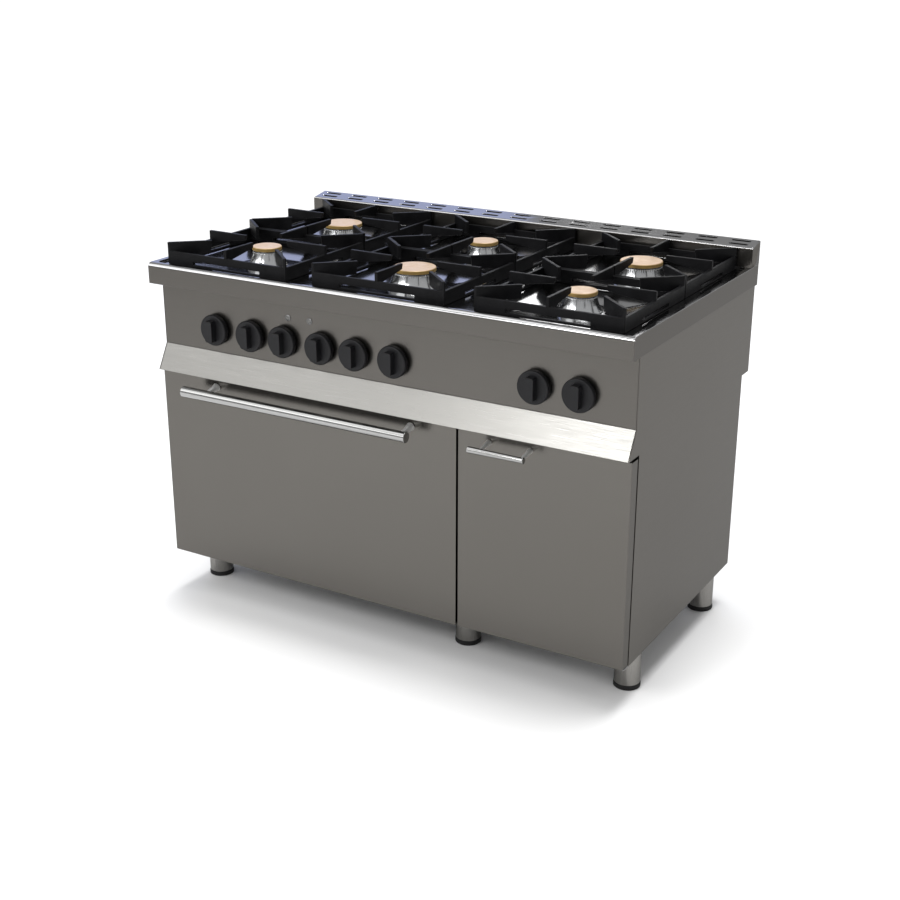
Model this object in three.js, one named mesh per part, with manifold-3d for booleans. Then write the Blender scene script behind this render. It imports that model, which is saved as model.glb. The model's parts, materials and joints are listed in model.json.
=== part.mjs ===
// A six-burner commercial gas range with an oven, a storage cabinet and a rear flue.
// Millimetres. X runs to the user's right, Y to the rear, Z up; the origin is on the floor,
// at the middle of the whole object's footprint. "Depth" is measured back from the
// front edge of the worktop.

import * as THREE from 'three';
import { mergeVertices } from 'three/addons/utils/BufferGeometryUtils.js';
import Module from 'manifold-3d';

const wasm = await Module();
wasm.setup();

// ---- Driving dimensions ----

const worktopWidth = 1200;
const worktopDepth = 700;
const worktopHeight = 825;
const worktopEdge = 48;
const handleReach = 32;
const flueDepth = 49;
const flueFrontHeight = 46;
const flueRearHeight = 55;
const moduleSplit = 200;

const sheet = 2;
const gap = 0.3;
const reach = 5;

const frontY = -(worktopDepth - handleReach) / 2;
const yAt = (depth) => frontY + depth;

const bodyHalfWidth = 597;
const innerHalfWidth = bodyHalfWidth - sheet;
const underWorktop = worktopHeight - worktopEdge;
const panelDepth = 41;
const panelBottom = 627;
const noseDepth = 9;
const noseBottom = 569;
const frameDepth = 60;
const bodyBottom = 96;
const upperRearDepth = 694;
const lowerRearDepth = 652;
const rearStep = 572;
const returnWidth = 15;

const doorFront = 26;
const doorRear = 54;
const doorBottom = 102;
const doorTop = 563;
const doorGap = 2.5;

const ovenCentre = -200;
const ovenHalfWidth = 330;
const ovenFloor = 190;
const ovenRoof = 500;
const ovenRear = 600;

const cabinetLeft = 224;
const cabinetRight = 564;
const cabinetFloor = 159;
const cabinetRoof = 543;
const cabinetRear = 638;

const burnerColumns = [-400, 0, 400];
const burnerRows = [184, 492.5];
const rowNames = ['front', 'rear'];
const columnNames = ['left', 'middle', 'right'];
const smallCap = 34;
const largeCap = 47.5;
const recessDepth = 5;
const recessTop = worktopHeight - recessDepth;
const wellDepth = 12;
const deckSheet = 2.5;

const knobHeight = 681;
const gasKnobs = [
  { x: -442, column: 0, row: 0 },
  { x: -342, column: 0, row: 1 },
  { x: -62, column: 1, row: 0 },
  { x: 38, column: 1, row: 1 },
  { x: 374, column: 2, row: 0 },
  { x: 474, column: 2, row: 1 },
];
const ovenKnobs = [
  { x: -252, name: 'oven_selector_knob' },
  { x: -152, name: 'oven_thermostat_knob' },
];
const lampColumns = [-240, -182];
const lampHeight = 736;
const lampNames = ['power_lamp', 'heating_lamp'];
const stemRadius = 4;
const runningGap = 0.4;

const footPlaces = [
  { name: 'foot_front_left', x: -559, depth: 147 },
  { name: 'foot_front_middle', x: 162, depth: 147 },
  { name: 'foot_front_right', x: 559, depth: 147 },
  { name: 'foot_rear_left', x: -559, depth: 581 },
  { name: 'foot_rear_middle', x: 162, depth: 581 },
  { name: 'foot_rear_right', x: 559, depth: 581 },
];
const studRadius = 8;
const studTop = 154;

const ovenHingeDepth = 44;
const ovenHingeHeight = 112;
const hingeArmColumns = [-575, 175];
const hingePinRadius = 4;
const cabinetHingeX = 587;
const cabinetHingeDepth = 42;
const cabinetPinRadius = 3.5;

const shelfHeights = [250, 330, 410];
const rackShelf = 1;

// ---- Materials ----

const finish = (color, roughness, metalness) =>
  new THREE.MeshStandardMaterial({ color, roughness, metalness });
const steel = () => finish(0x8f8a84, 0.38, 0.9);
const brightSteel = () => finish(0xc9cbca, 0.22, 1.0);
const dullSteel = () => finish(0x77777a, 0.55, 0.8);
const castIron = () => finish(0x1b1b1c, 0.6, 0.2);
const blackPlastic = () => finish(0x151515, 0.35, 0.0);
const brass = () => finish(0xd8b07a, 0.4, 0.8);
const enamel = () => finish(0x2c3038, 0.3, 0.1);
const mineralWool = () => finish(0xb9a878, 0.95, 0.0);
const sealRubber = () => finish(0x2a2726, 0.8, 0.0);
const lampLens = (color) => finish(color, 0.2, 0.0);

// ---- Solids ----

function solidOf(geometry) {
  const bare = geometry.index ? geometry.clone() : geometry;
  bare.deleteAttribute('normal');
  bare.deleteAttribute('uv');
  const merged = mergeVertices(bare, 1e-4);
  const mesh = new wasm.Mesh({
    numProp: 3,
    vertProperties: new Float32Array(merged.attributes.position.array),
    triVerts: new Uint32Array(merged.index.array),
  });
  return new wasm.Manifold(mesh);
}

function block(x0, x1, depth0, depth1, z0, z1) {
  const geometry = new THREE.BoxGeometry(x1 - x0, depth1 - depth0, z1 - z0);
  geometry.translate((x0 + x1) / 2, yAt((depth0 + depth1) / 2), (z0 + z1) / 2);
  return solidOf(geometry);
}

// A bar of round section between two points given as [x, depth, z].
function rod(from, to, radiusFrom, radiusTo = radiusFrom, sides = 12) {
  const start = new THREE.Vector3(from[0], yAt(from[1]), from[2]);
  const end = new THREE.Vector3(to[0], yAt(to[1]), to[2]);
  const along = end.clone().sub(start);
  const geometry = new THREE.CylinderGeometry(radiusTo, radiusFrom, along.length(), sides);
  const turn = new THREE.Quaternion().setFromUnitVectors(
    new THREE.Vector3(0, 1, 0),
    along.clone().normalize(),
  );
  geometry.applyQuaternion(turn);
  geometry.translate(...start.add(end).multiplyScalar(0.5).toArray());
  return solidOf(geometry);
}

// A turned piece about a vertical line; the outline holds [radius, z] pairs.
function turned(outline, x, depth, sides) {
  const points = outline.map(([radius, z]) => new THREE.Vector2(radius, z));
  const geometry = new THREE.LatheGeometry(points, sides);
  geometry.rotateX(Math.PI / 2);
  geometry.translate(x, yAt(depth), 0);
  return solidOf(geometry);
}

// A [depth, z] outline drawn out along X.
function drawnAlongX(shape, x0, x1, curveSegments = 6) {
  const geometry = new THREE.ExtrudeGeometry(shape, {
    depth: x1 - x0,
    bevelEnabled: false,
    curveSegments,
  });
  geometry.rotateY(Math.PI / 2);
  geometry.rotateX(Math.PI / 2);
  geometry.translate(x0, frontY, 0);
  return solidOf(geometry);
}

// A plan outline of [x, depth offset] drawn out upwards.
function drawnUp(shape, x, depth, z0, z1, curveSegments = 2) {
  const geometry = new THREE.ExtrudeGeometry(shape, {
    depth: z1 - z0,
    bevelEnabled: false,
    curveSegments,
  });
  geometry.translate(x, yAt(depth), z0);
  return solidOf(geometry);
}

// A round tube that follows a curve.
function tubeAlong(curve, radius, sides, steps) {
  const section = new THREE.Shape();
  section.absarc(0, 0, radius, 0, Math.PI * 2, false);
  const geometry = new THREE.ExtrudeGeometry(section, {
    steps,
    extrudePath: curve,
    curveSegments: sides,
    bevelEnabled: false,
  });
  return solidOf(geometry);
}

function polygon(points) {
  return new THREE.Shape(points.map(([u, v]) => new THREE.Vector2(u, v)));
}

function roundedBar(length, width) {
  const half = length / 2 - width / 2;
  const shape = new THREE.Shape();
  shape.absarc(half, 0, width / 2, -Math.PI / 2, Math.PI / 2, false);
  shape.absarc(-half, 0, width / 2, Math.PI / 2, Math.PI * 1.5, false);
  return shape;
}

const joined = (solids) => solids.reduce((whole, piece) => whole.add(piece));
const without = (solid, cuts) => cuts.reduce((left, cut) => left.subtract(cut), solid);

const range = new THREE.Group();

function addNode(name, solid, material) {
  const cut = solid.getMesh();
  const geometry = new THREE.BufferGeometry();
  const places = new Float32Array((cut.vertProperties.length / cut.numProp) * 3);
  for (let i = 0; i < places.length / 3; i += 1) {
    for (let k = 0; k < 3; k += 1) {
      places[3 * i + k] = cut.vertProperties[cut.numProp * i + k];
    }
  }
  geometry.setAttribute('position', new THREE.BufferAttribute(places, 3));
  geometry.setIndex(new THREE.BufferAttribute(new Uint32Array(cut.triVerts), 1));
  geometry.computeVertexNormals();
  const mesh = new THREE.Mesh(geometry, material);
  mesh.name = name;
  range.add(mesh);
}

// ---- Worktop and flue ----

// The space inside a pressed well round a burner: flat sides that slope to a flat bottom.
function wellAt(x, depth, top) {
  const halfX = 156;
  const halfY = 138;
  const bottomShare = 0.44;
  const height = wellDepth + 1;
  const corner = Math.SQRT2;
  const geometry = new THREE.CylinderGeometry(corner, corner * bottomShare, height, 4);
  geometry.rotateY(Math.PI / 4);
  geometry.rotateX(Math.PI / 2);
  geometry.scale(halfX, halfY, 1);
  geometry.translate(x, yAt(depth), top - height / 2);
  return solidOf(geometry);
}

function makeWorktop() {
  const noseRadius = 10;
  const half = worktopWidth / 2;
  const outline = new THREE.Shape();
  outline.moveTo(0, underWorktop);
  outline.lineTo(0, worktopHeight - noseRadius);
  outline.absarc(noseRadius, worktopHeight - noseRadius, noseRadius, Math.PI, Math.PI / 2, true);
  outline.lineTo(worktopDepth, worktopHeight);
  outline.lineTo(worktopDepth, underWorktop);
  const top = drawnAlongX(outline, -half, half);
  const rim = 12;
  const cuts = [
    block(-half + rim, half - rim, 16, worktopDepth - flueDepth - 1, recessTop, worktopHeight + reach),
    block(-half + sheet, half - sheet, sheet, worktopDepth - sheet,
      underWorktop - reach, recessTop - deckSheet),
    block(-560, 560, 660, 690, underWorktop, worktopHeight + reach),
  ];
  const wells = [];
  const openings = [];
  for (const x of burnerColumns) {
    for (const depth of burnerRows) {
      wells.push(wellAt(x, depth, recessTop + 1 - deckSheet));
      openings.push(wellAt(x, depth, recessTop + 1));
      openings.push(rod([x, depth, underWorktop], [x, depth, worktopHeight + reach], 30, 30, 24));
    }
  }
  addNode('worktop', without(joined([without(top, cuts), ...wells]), openings), steel());
}

// A folded riser whose top rises towards the rear, with two rows of vent slots in it.
function makeFlueRiser() {
  const half = worktopWidth / 2;
  const front = worktopDepth - flueDepth;
  const base = worktopHeight + gap;
  const frontTop = worktopHeight + flueFrontHeight;
  const rearTop = worktopHeight + flueRearHeight;
  const fold = 7;
  const outer = polygon([
    [front, base],
    [front, frontTop - fold],
    [front + 2, frontTop - 2],
    [front + fold, frontTop + 1],
    [worktopDepth, rearTop],
    [worktopDepth, base],
  ]);
  const inner = polygon([
    [front + sheet, base - reach],
    [front + sheet, frontTop - fold - 1],
    [front + fold + 1, frontTop - 1],
    [worktopDepth - sheet, rearTop - 2.5],
    [worktopDepth - sheet, base - reach],
  ]);
  const slotGroups = 15;
  const slotPitch = 80;
  const slotRows = [16, 35];
  const slotShape = roundedBar(46, 9);
  const cuts = [drawnAlongX(inner, -half + sheet, half - sheet)];
  for (let i = 0; i < slotGroups; i += 1) {
    const x = (i - (slotGroups - 1) / 2) * slotPitch;
    for (const row of slotRows) {
      cuts.push(drawnUp(slotShape, x, front + row, base, rearTop + reach));
    }
  }
  addNode('flue_riser', without(drawnAlongX(outer, -half, half), cuts), steel());
}

// ---- Body shell ----

function makeControlPanel() {
  const half = innerHalfWidth - gap;
  const bottom = panelBottom + gap;
  const top = underWorktop - gap;
  const depthOfReturn = 19;
  const sheets = joined([
    block(-half, half, panelDepth, panelDepth + sheet, bottom, top),
    block(-half, half, panelDepth, panelDepth + depthOfReturn, top - sheet, top),
    block(-half, half, panelDepth, panelDepth + depthOfReturn, bottom, bottom + sheet),
  ]);
  const cuts = [...gasKnobs, ...ovenKnobs].map(({ x }) =>
    rod([x, panelDepth - reach, knobHeight], [x, panelDepth + reach, knobHeight], 6.5));
  for (const x of lampColumns) {
    cuts.push(rod([x, panelDepth - reach, lampHeight], [x, panelDepth + reach, lampHeight], 5.4));
  }
  addNode('control_panel', without(sheets, cuts), steel());
}

// The folded nose below the control panel, which sheds spills clear of the doors.
function makeFrontRail() {
  const lip = 58;
  const rise = panelBottom - noseBottom;
  const run = panelDepth - noseDepth;
  const slope = Math.hypot(rise, run);
  const across = (sheet * slope) / rise;
  const foot = noseDepth + across + (sheet * run) / rise;
  const outline = polygon([
    [panelDepth, panelBottom],
    [noseDepth, noseBottom],
    [lip, noseBottom],
    [lip, noseBottom + returnWidth],
    [lip - sheet, noseBottom + returnWidth],
    [lip - sheet, noseBottom + sheet],
    [foot, noseBottom + sheet],
    [panelDepth + across, panelBottom],
  ]);
  const half = innerHalfWidth - gap;
  const pinHole = rod(
    [cabinetHingeX, cabinetHingeDepth, noseBottom - reach],
    [cabinetHingeX, cabinetHingeDepth, noseBottom + reach],
    cabinetPinRadius + runningGap,
  );
  addNode('front_rail', without(drawnAlongX(outline, -half, half), [pinHole]), steel());
}

function makeSidePanel(name, side) {
  const outline = polygon([
    [frameDepth, bodyBottom],
    [frameDepth, noseBottom],
    [noseDepth, noseBottom],
    [panelDepth, panelBottom],
    [panelDepth, underWorktop - gap],
    [upperRearDepth, underWorktop - gap],
    [upperRearDepth, rearStep],
    [lowerRearDepth, rearStep],
    [lowerRearDepth, bodyBottom],
  ]);
  const outer = side * bodyHalfWidth;
  const inner = side * innerHalfWidth;
  const folded = side * (bodyHalfWidth - returnWidth);
  const [low, high] = [Math.min(outer, folded), Math.max(outer, folded)];
  const panel = joined([
    drawnAlongX(outline, Math.min(outer, inner), Math.max(outer, inner)),
    block(low, high, frameDepth, frameDepth + sheet, bodyBottom, noseBottom - gap),
    block(low, high, frameDepth, lowerRearDepth, bodyBottom, bodyBottom + sheet),
  ]);
  addNode(name, panel, steel());
}

function makeBackPanel() {
  const half = innerHalfWidth - gap;
  const bottom = bodyBottom + sheet + gap;
  const top = underWorktop - gap;
  const outline = polygon([
    [lowerRearDepth - sheet, bottom],
    [lowerRearDepth, bottom],
    [lowerRearDepth, rearStep],
    [upperRearDepth, rearStep],
    [upperRearDepth, top],
    [upperRearDepth - sheet, top],
    [upperRearDepth - sheet, rearStep + sheet],
    [lowerRearDepth - sheet, rearStep + sheet],
  ]);
  const inletHole = rod([530, 680, knobHeight], [530, 705, knobHeight], 12);
  addNode('back_panel', without(drawnAlongX(outline, -half, half), [inletHole]), dullSteel());
}

function makeBasePanel() {
  const half = innerHalfWidth - gap;
  const bottom = bodyBottom + sheet + gap;
  const bossTop = 135;
  const pieces = [
    block(-half, half, frameDepth + sheet + gap, lowerRearDepth - sheet - gap,
      bottom, bottom + sheet),
  ];
  const bores = [];
  for (const { x, depth } of footPlaces) {
    pieces.push(rod([x, depth, bodyBottom], [x, depth, bossTop], 14, 14, 12));
    bores.push(rod([x, depth, bodyBottom - reach], [x, depth, bossTop + reach],
      studRadius + 2 * runningGap, studRadius + 2 * runningGap, 12));
  }
  addNode('base_panel', without(joined(pieces), bores), dullSteel());
}

function makeFrontFrame() {
  const half = bodyHalfWidth - returnWidth - gap;
  const plate = block(-half, half, frameDepth, frameDepth + sheet, bodyBottom, noseBottom - gap);
  const before = frameDepth - reach;
  const behind = frameDepth + reach;
  const cuts = [
    block(ovenCentre - ovenHalfWidth, ovenCentre + ovenHalfWidth, before, behind,
      ovenFloor, ovenRoof),
    block(cabinetLeft + sheet, cabinetRight - sheet, before, behind,
      cabinetFloor + sheet, cabinetRoof - sheet),
  ];
  for (const x of hingeArmColumns) {
    cuts.push(block(x - 5, x + 5, before, behind, ovenHingeHeight - 5, ovenHingeHeight + 5));
  }
  addNode('front_frame', without(plate, cuts), steel());
}

function makeCabinetLiner() {
  const front = frameDepth + sheet + gap;
  const shell = block(cabinetLeft - sheet, cabinetRight + sheet, front, cabinetRear + sheet,
    cabinetFloor - sheet, cabinetRoof + sheet);
  const inside = block(cabinetLeft, cabinetRight, front - reach, cabinetRear,
    cabinetFloor, cabinetRoof);
  addNode('cabinet_liner', shell.subtract(inside), steel());
}

// ---- Oven ----

const elementLegs = [-425, -275, -125, 25];
const elementRadius = 4;
const elementHeights = { top: 484, bottom: 202 };
const elementEnd = 645;

// A heating tube laid in legs that run front to back, joined by half-turns.
class ElementPath extends THREE.Curve {
  constructor(z) {
    super();
    this.z = z;
    const bend = (elementLegs[1] - elementLegs[0]) / 2;
    const frontTurn = 110 + bend;
    const rearTurn = 585 - bend;
    const corners = [[elementLegs[0], elementEnd, frontTurn], [elementLegs[1], frontTurn, rearTurn],
      [elementLegs[2], rearTurn, frontTurn], [elementLegs[3], frontTurn, elementEnd]];
    this.spans = [];
    corners.forEach(([x, start, end], i) => {
      this.spans.push({ x, start, end, length: Math.abs(end - start) });
      if (i < corners.length - 1) {
        this.spans.push({ x, turn: end, toward: end === frontTurn ? -1 : 1, bend,
          length: Math.PI * bend });
      }
    });
    this.total = this.spans.reduce((sum, span) => sum + span.length, 0);
  }

  getPoint(t, target = new THREE.Vector3()) {
    let left = t * this.total;
    let span = this.spans[0];
    for (span of this.spans) {
      if (left <= span.length) break;
      left -= span.length;
    }
    const share = Math.min(left / span.length, 1);
    if (span.turn === undefined) {
      return target.set(span.x, yAt(span.start + (span.end - span.start) * share), this.z);
    }
    const angle = Math.PI * share;
    return target.set(
      span.x + span.bend * (1 - Math.cos(angle)),
      yAt(span.turn + span.toward * span.bend * Math.sin(angle)),
      this.z,
    );
  }
}

function elementHoles(depth0, depth1) {
  const holes = [];
  for (const x of [elementLegs[0], elementLegs[3]]) {
    for (const z of Object.values(elementHeights)) {
      holes.push(rod([x, depth0, z], [x, depth1, z], elementRadius + 1.5, elementRadius + 1.5, 12));
    }
  }
  return holes;
}

function makeOvenLiner() {
  const left = ovenCentre - ovenHalfWidth;
  const right = ovenCentre + ovenHalfWidth;
  const front = frameDepth + sheet + gap;
  const shell = block(left - sheet, right + sheet, front, ovenRear + sheet,
    ovenFloor - sheet, ovenRoof + sheet);
  const inside = block(left, right, front - reach, ovenRear, ovenFloor, ovenRoof);
  const ribWidth = 12;
  const ribs = [];
  for (const z of shelfHeights) {
    ribs.push(block(left - sheet / 2, left + ribWidth, 70, 596, z - 3, z));
    ribs.push(block(right - ribWidth, right + sheet / 2, 70, 596, z - 3, z));
  }
  const cavity = without(shell.subtract(inside), elementHoles(ovenRear - reach, ovenRear + reach));
  addNode('oven_liner', joined([cavity, ...ribs]), enamel());
}

function makeOvenInsulation() {
  const left = ovenCentre - ovenHalfWidth;
  const right = ovenCentre + ovenHalfWidth;
  const blanket = 30;
  const off = sheet + 0.5;
  const front = frameDepth + sheet + 0.5;
  const rear = ovenRear + sheet + blanket;
  const outer = block(left - sheet - blanket, right + sheet + blanket, front, rear,
    ovenFloor - sheet - blanket, ovenRoof + sheet + blanket);
  const hollow = block(left - off, right + off, front - reach, ovenRear + off,
    ovenFloor - off, ovenRoof + off);
  const holes = elementHoles(ovenRear, rear + reach);
  addNode('oven_insulation', without(outer, [hollow, ...holes]), mineralWool());
}

function makeOvenFloorPlate() {
  const half = ovenHalfWidth - 4;
  const top = 214;
  const shell = block(ovenCentre - half, ovenCentre + half, 75, 596, ovenFloor + gap, top);
  const under = block(ovenCentre - half + sheet, ovenCentre + half - sheet, 75 + sheet, 600,
    ovenFloor - reach, top - sheet);
  addNode('oven_floor_plate', shell.subtract(under), dullSteel());
}

function makeOvenRack() {
  const half = ovenHalfWidth - 3;
  const front = 112;
  const rear = 592;
  const bottom = shelfHeights[rackShelf] + gap;
  const frame = 8;
  const wire = 5;
  const wires = 13;
  const bars = [
    block(ovenCentre - half, ovenCentre + half, front, front + frame, bottom, bottom + frame),
    block(ovenCentre - half, ovenCentre + half, rear - frame, rear, bottom, bottom + frame),
    block(ovenCentre - half, ovenCentre - half + frame, front, rear, bottom, bottom + frame),
    block(ovenCentre + half - frame, ovenCentre + half, front, rear, bottom, bottom + frame),
  ];
  for (let i = 1; i <= wires; i += 1) {
    const x = ovenCentre - half + (2 * half * i) / (wires + 1);
    bars.push(block(x - wire / 2, x + wire / 2, front + 2, rear - 2,
      bottom + frame - wire, bottom + frame - 0.5));
  }
  addNode('oven_rack', joined(bars), brightSteel());
}

function makeHeatingElements() {
  for (const [name, z] of Object.entries(elementHeights)) {
    addNode(`${name}_heating_element`, tubeAlong(new ElementPath(z), elementRadius, 3, 46),
      dullSteel());
  }
}

function makeOvenGasket() {
  const wide = ovenHalfWidth + 16;
  const narrow = ovenHalfWidth + 4;
  const front = doorRear + gap;
  const rear = frameDepth - gap;
  const ring = block(ovenCentre - wide, ovenCentre + wide, front, rear,
    ovenFloor - 16, ovenRoof + 16);
  const hole = block(ovenCentre - narrow, ovenCentre + narrow, front - reach, rear + reach,
    ovenFloor - 4, ovenRoof + 4);
  addNode('oven_door_gasket', ring.subtract(hole), sealRubber());
}

// ---- Doors ----

const ovenDoorLeft = -bodyHalfWidth;
const ovenDoorRight = moduleSplit - doorGap;

// The clearance that each fixed hinge arm needs in the door as it turns down.
function hingeNotches() {
  return hingeArmColumns.map((x) => block(x - 5, x + 5, ovenHingeDepth - 4.5, doorRear + reach,
    doorBottom - reach, ovenHingeHeight + 4.5));
}

function makeOvenDoorOuter() {
  const pan = block(ovenDoorLeft, ovenDoorRight, doorFront, doorRear, doorBottom, doorTop);
  const inside = block(ovenDoorLeft + sheet, ovenDoorRight - sheet, doorFront + sheet,
    doorRear + reach, doorBottom + sheet, doorTop - sheet);
  addNode('oven_door_outer', without(pan, [inside, ...hingeNotches()]), steel());
}

function makeOvenDoorInner() {
  const left = ovenDoorLeft + sheet + gap;
  const right = ovenDoorRight - sheet - gap;
  const bottom = doorBottom + sheet + gap;
  const top = doorTop - sheet - gap;
  const plugHalf = ovenHalfWidth - 4;
  const plugRear = 64;
  const pieces = [
    block(left, right, doorRear - sheet, doorRear, bottom, top),
    block(ovenCentre - plugHalf, ovenCentre + plugHalf, doorRear - sheet, plugRear,
      ovenFloor + 4, ovenRoof - 4),
  ];
  for (const x of hingeArmColumns) {
    pieces.push(block(x - 15, x - 5, 34, doorRear, bottom, 124));
    pieces.push(block(x + 5, x + 15, 34, doorRear, bottom, 124));
  }
  const dish = block(ovenCentre - plugHalf + sheet, ovenCentre + plugHalf - sheet,
    doorRear - sheet - reach, plugRear - sheet, ovenFloor + 4 + sheet, ovenRoof - 4 - sheet);
  const bore = rod([hingeArmColumns[0] - 20, ovenHingeDepth, ovenHingeHeight],
    [hingeArmColumns[1] + 20, ovenHingeDepth, ovenHingeHeight],
    hingePinRadius + runningGap, hingePinRadius + runningGap, 16);
  addNode('oven_door_inner', without(joined(pieces), [dish, bore, ...hingeNotches()]), dullSteel());
}

// One rod runs the width of the door and is held by an arm near each end.
function makeOvenDoorHinge() {
  const pieces = [
    rod([hingeArmColumns[0] - 13, ovenHingeDepth, ovenHingeHeight],
      [hingeArmColumns[1] + 13, ovenHingeDepth, ovenHingeHeight],
      hingePinRadius, hingePinRadius, 16),
  ];
  const plateFront = frameDepth + sheet + gap;
  for (const x of hingeArmColumns) {
    pieces.push(block(x - 4, x + 4, ovenHingeDepth - 1, plateFront + 1,
      ovenHingeHeight - 4, ovenHingeHeight + 4));
    pieces.push(block(x - 12, x + 12, plateFront, plateFront + 3,
      ovenHingeHeight - 9, ovenHingeHeight + 18));
  }
  addNode('oven_door_hinge', joined(pieces), dullSteel());
}

function makeHandle(name, bar, posts) {
  const doorFace = doorFront - gap;
  const pieces = [
    rod([bar.left, bar.depth, bar.z], [bar.right, bar.depth, bar.z], bar.radius, bar.radius, 16),
  ];
  for (const x of posts.columns) {
    pieces.push(rod([x, doorFace + 1, bar.z + posts.rise],
      [x, bar.depth + bar.radius / 2, bar.z + 1], posts.base, posts.tip, 10));
  }
  const door = block(bar.left, bar.right, doorFace, doorRear, bar.z - 40, bar.z + 40);
  addNode(name, joined(pieces).subtract(door), brightSteel());
}

function makeCabinetDoor() {
  const left = moduleSplit + doorGap;
  const right = bodyHalfWidth;
  const lip = 15;
  const pan = block(left, right, doorFront, doorRear, doorBottom, doorTop);
  const hollow = block(left + sheet, right - sheet, doorFront + sheet, doorRear - sheet,
    doorBottom + sheet, doorTop - sheet);
  const mouth = block(left + lip, right - lip, doorRear - sheet - 1, doorRear + reach,
    doorBottom + lip, doorTop - lip);
  const bore = rod([cabinetHingeX, cabinetHingeDepth, doorBottom - reach],
    [cabinetHingeX, cabinetHingeDepth, doorTop + reach], cabinetPinRadius + runningGap);
  addNode('cabinet_door', without(pan, [hollow, mouth, bore]), steel());
}

function makeCabinetDoorHinge() {
  const plateTop = doorBottom - 3;
  const pieces = [
    rod([cabinetHingeX, cabinetHingeDepth, bodyBottom + 1],
      [cabinetHingeX, cabinetHingeDepth, noseBottom + 1.5], cabinetPinRadius),
    block(cabinetHingeX - 10, cabinetHingeX + 9, cabinetHingeDepth - 6, frameDepth - gap,
      bodyBottom + gap, plateTop),
  ];
  addNode('cabinet_door_hinge', joined(pieces), dullSteel());
}

// ---- Controls and gas ----

// A knob on its own stem, which turns in the tap or switch behind the panel.
function makeKnob(name, x) {
  const back = panelDepth - 1;
  const disc = [[0, 0], [33, 0], [36, 5], [36, 14], [34, 16], [0, 16]];
  const gripWidth = 20;
  const gripLength = 50;
  const gripFront = 32;
  const gripRoot = 12;
  const points = disc.map(([radius, out]) => new THREE.Vector2(radius, out));
  const body = new THREE.LatheGeometry(points, 24);
  body.rotateX(Math.PI);
  body.translate(x, yAt(back), knobHeight);
  const grip = block(x - gripWidth / 2, x + gripWidth / 2, back - gripFront, back - gripRoot,
    knobHeight - gripLength / 2, knobHeight + gripLength / 2);
  const stem = rod([x, back - 1, knobHeight], [x, 70, knobHeight], stemRadius, stemRadius, 12);
  addNode(name, joined([solidOf(body), grip, stem]), blackPlastic());
}

function stemBore(x) {
  const radius = stemRadius + runningGap;
  return rod([x, panelDepth, knobHeight], [x, 76, knobHeight], radius, radius, 12);
}

function makeGasManifold() {
  const railDepth = 105;
  const railRadius = 13;
  const railEnd = 530;
  const nozzleTop = 768;
  const pieces = [
    rod([-480, railDepth, knobHeight], [railEnd + railRadius, railDepth, knobHeight],
      railRadius, railRadius, 12),
    rod([railEnd, railDepth, knobHeight], [railEnd, worktopDepth - 1, knobHeight], 10.65),
  ];
  for (const { x, column, row } of gasKnobs) {
    const burnerX = burnerColumns[column];
    const burnerDepth = burnerRows[row];
    pieces.push(block(x - 14, x + 14, 52, 98, 663, 700));
    pieces.push(rod([burnerX, burnerDepth, 748], [burnerX, burnerDepth, nozzleTop], 9, 9, 12));
    const feed = new THREE.CatmullRomCurve3([
      new THREE.Vector3(x, yAt(80), 690),
      new THREE.Vector3(x, yAt(104), 724),
      new THREE.Vector3(burnerX, yAt(burnerDepth - 24), 726),
      new THREE.Vector3(burnerX, yAt(burnerDepth), 756),
    ]);
    pieces.push(tubeAlong(feed, 4, 3, 10));
  }
  const bores = gasKnobs.map(({ x }) => stemBore(x));
  addNode('gas_manifold', without(joined(pieces), bores), dullSteel());
}

function makeOvenControls() {
  const columns = ovenKnobs.map(({ x }) => x);
  const bracket = block(Math.min(...columns) - 33, Math.max(...columns) + 32, 46, 48, 655, 710);
  const bodies = columns.map((x) => rod([x, 47, knobHeight], [x, 88, knobHeight], 20));
  const bores = columns.map((x) => stemBore(x));
  addNode('oven_controls', without(joined([bracket, ...bodies]), bores), dullSteel());
}

function makeLamp(name, x, color) {
  const outline = [[0, 0], [7, 0], [7, 1], [5.5, 3], [0, 3.4]];
  const points = outline.map(([radius, out]) => new THREE.Vector2(radius, out));
  const lens = new THREE.LatheGeometry(points, 16);
  lens.rotateX(Math.PI);
  lens.translate(x, yAt(panelDepth - gap), lampHeight);
  const barrel = rod([x, panelDepth - 1, lampHeight], [x, 66, lampHeight], 5, 5, 16);
  addNode(name, joined([solidOf(lens), barrel]), lampLens(color));
}

// ---- Burners and pan supports ----

// Large and small burners alternate across the worktop and from front to rear.
const capRadius = (column, row) => ((column + row) % 2 === 0 ? smallCap : largeCap);
const capSeat = 843;
const capTop = 852;

function makeBurner(column, row) {
  const x = burnerColumns[column];
  const depth = burnerRows[row];
  const radius = capRadius(column, row);
  const place = `${rowNames[row]}_${columnNames[column]}`;
  const foot = radius + 12;
  const collar = radius + 4;
  const base = recessTop - wellDepth + gap;
  const throat = 16;
  const bell = [
    [throat, 770],
    [throat + 4, 770],
    [throat + 4, base + 6],
    [foot - 3, base + 3],
    [foot - 3, base],
    [foot, base],
    [foot, base + 2],
    [collar, base + 12],
    [radius - 1, capSeat],
    [throat, capSeat],
    [throat, 770],
  ];
  addNode(`burner_${place}`, turned(bell, x, depth, 20), brightSteel());
  const seat = capSeat + gap;
  const cap = [
    [0, seat - 8],
    [throat - 1, seat - 8],
    [throat - 1, seat],
    [radius, seat],
    [radius, capTop - 2],
    [radius - 2, capTop],
    [0, capTop],
  ];
  addNode(`burner_cap_${place}`, turned(cap, x, depth, 20), brass());
}

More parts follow.
